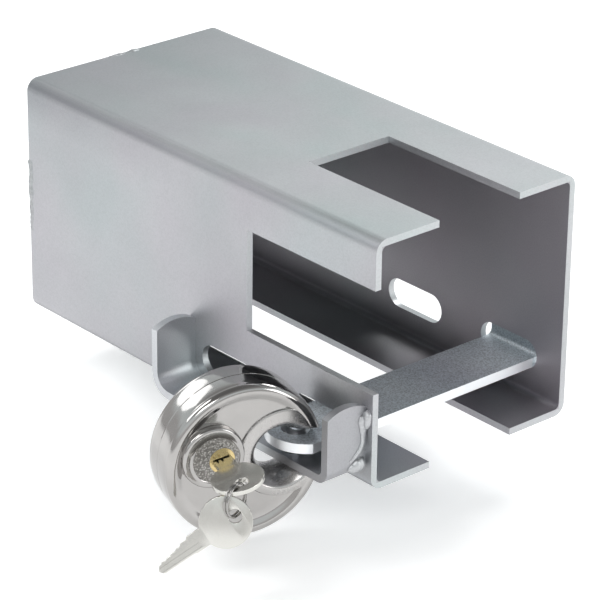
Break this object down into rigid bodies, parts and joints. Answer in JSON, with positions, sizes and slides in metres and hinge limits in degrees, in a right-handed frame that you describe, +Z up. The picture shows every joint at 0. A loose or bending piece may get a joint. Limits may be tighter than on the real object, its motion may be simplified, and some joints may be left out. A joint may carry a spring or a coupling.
{
  "type": "trailer coupler lock",
  "caption": "Folded steel box lock for a trailer coupler, with a slide-in lock bar, a welded guard and a disc padlock with its keys.",
  "frame": {"origin": "on the underside of the roof, midway between the sides, at the end plate's inner face: where the coupler seats", "axes": "+X from the closed end to the open end, +Y from the padlock side to the far side, +Z up"},
  "size_m": [0.2304, 0.2052, 0.1295],
  "materials": {
    "zinc_sheet": "satin zinc plating with soft mottling",
    "zinc_strap": "satin zinc plating",
    "zinc_bar": "zinc plating over grained hot-rolled steel",
    "weld_metal": "plated weld bead",
    "polished_stainless": "polished, satin in the face's recess",
    "cast_core": "as cast",
    "cylinder_face": "dotted grey face",
    "plug_brass": "turned",
    "pin_steel": "turned",
    "spring_steel": "drawn",
    "shackle_steel": "polished",
    "key_nickel": "stamped and nickel plated",
    "ring_chrome": "polished"
  },
  "bodies": {
    "box": {"box_shell": "zinc_sheet", "end_plate": "zinc_sheet", "end_plate_welds": "weld_metal", "guard_bracket": "zinc_strap", "guard_welds": "weld_metal"},
    "bar": {"lock_bar": "zinc_bar"},
    "padlock": {"padlock_front_shell": "polished_stainless", "padlock_back_shell": "polished_stainless", "front_core": "cast_core", "back_core": "cast_core", "cylinder_housing": "cylinder_face", "driver_pins": "pin_steel", "pin_springs": "spring_steel", "chamber_caps": "plug_brass"},
    "shackle": {"shackle": "shackle_steel", "shackle_carrier": "pin_steel"},
    "plug": {"plug": "plug_brass", "key_pins": "plug_brass", "drive_cam": "pin_steel", "cam_clip": "spring_steel"},
    "key": {"key_in_lock": "key_nickel"},
    "ring": {"key_ring": "ring_chrome"},
    "spare": {"spare_key": "key_nickel"}
  },
  "joints": [
    {"name": "bar_slide", "type": "slide", "parent": "box", "child": "bar", "axis": [0, 1, 0], "range_m": [-0.0009, 0.0015]},
    {"name": "padlock_swing", "type": "hinge", "parent": "box", "child": "padlock", "pos_m": [0.19303, -0.06767, -0.0918], "axis": [0, 0, 1], "range_deg": [-6, 6]},
    {"name": "shackle_turn", "type": "hinge", "parent": "padlock", "child": "shackle", "pos_m": [0.185, -0.0924, -0.0918], "axis": [0.9511, -0.309, 0], "range_deg": [0, 70.5]},
    {"name": "key_turn", "type": "hinge", "parent": "padlock", "child": "plug", "pos_m": [0.1816, -0.10286, -0.088], "axis": [0.9511, -0.309, 0], "range_deg": [0, 90]},
    {"name": "key_withdraw", "type": "slide", "parent": "plug", "child": "key", "axis": [0.9511, -0.309, 0], "range_m": [0, 0.026]},
    {"name": "ring_swing", "type": "hinge", "parent": "key", "child": "ring", "pos_m": [0.21384, -0.11334, -0.088], "axis": [-0.9659, -0.2588, 0], "range_deg": [-2, 12]},
    {"name": "spare_key_swing", "type": "hinge", "parent": "ring", "child": "spare", "pos_m": [0.21497, -0.11756, -0.10001], "axis": [0.2588, -0.9659, 0], "range_deg": [-5, 35]}
  ],
  "couplings": [
    {"joint": "shackle_turn", "follows": "key_turn", "ratio": 0.77778}
  ]
}
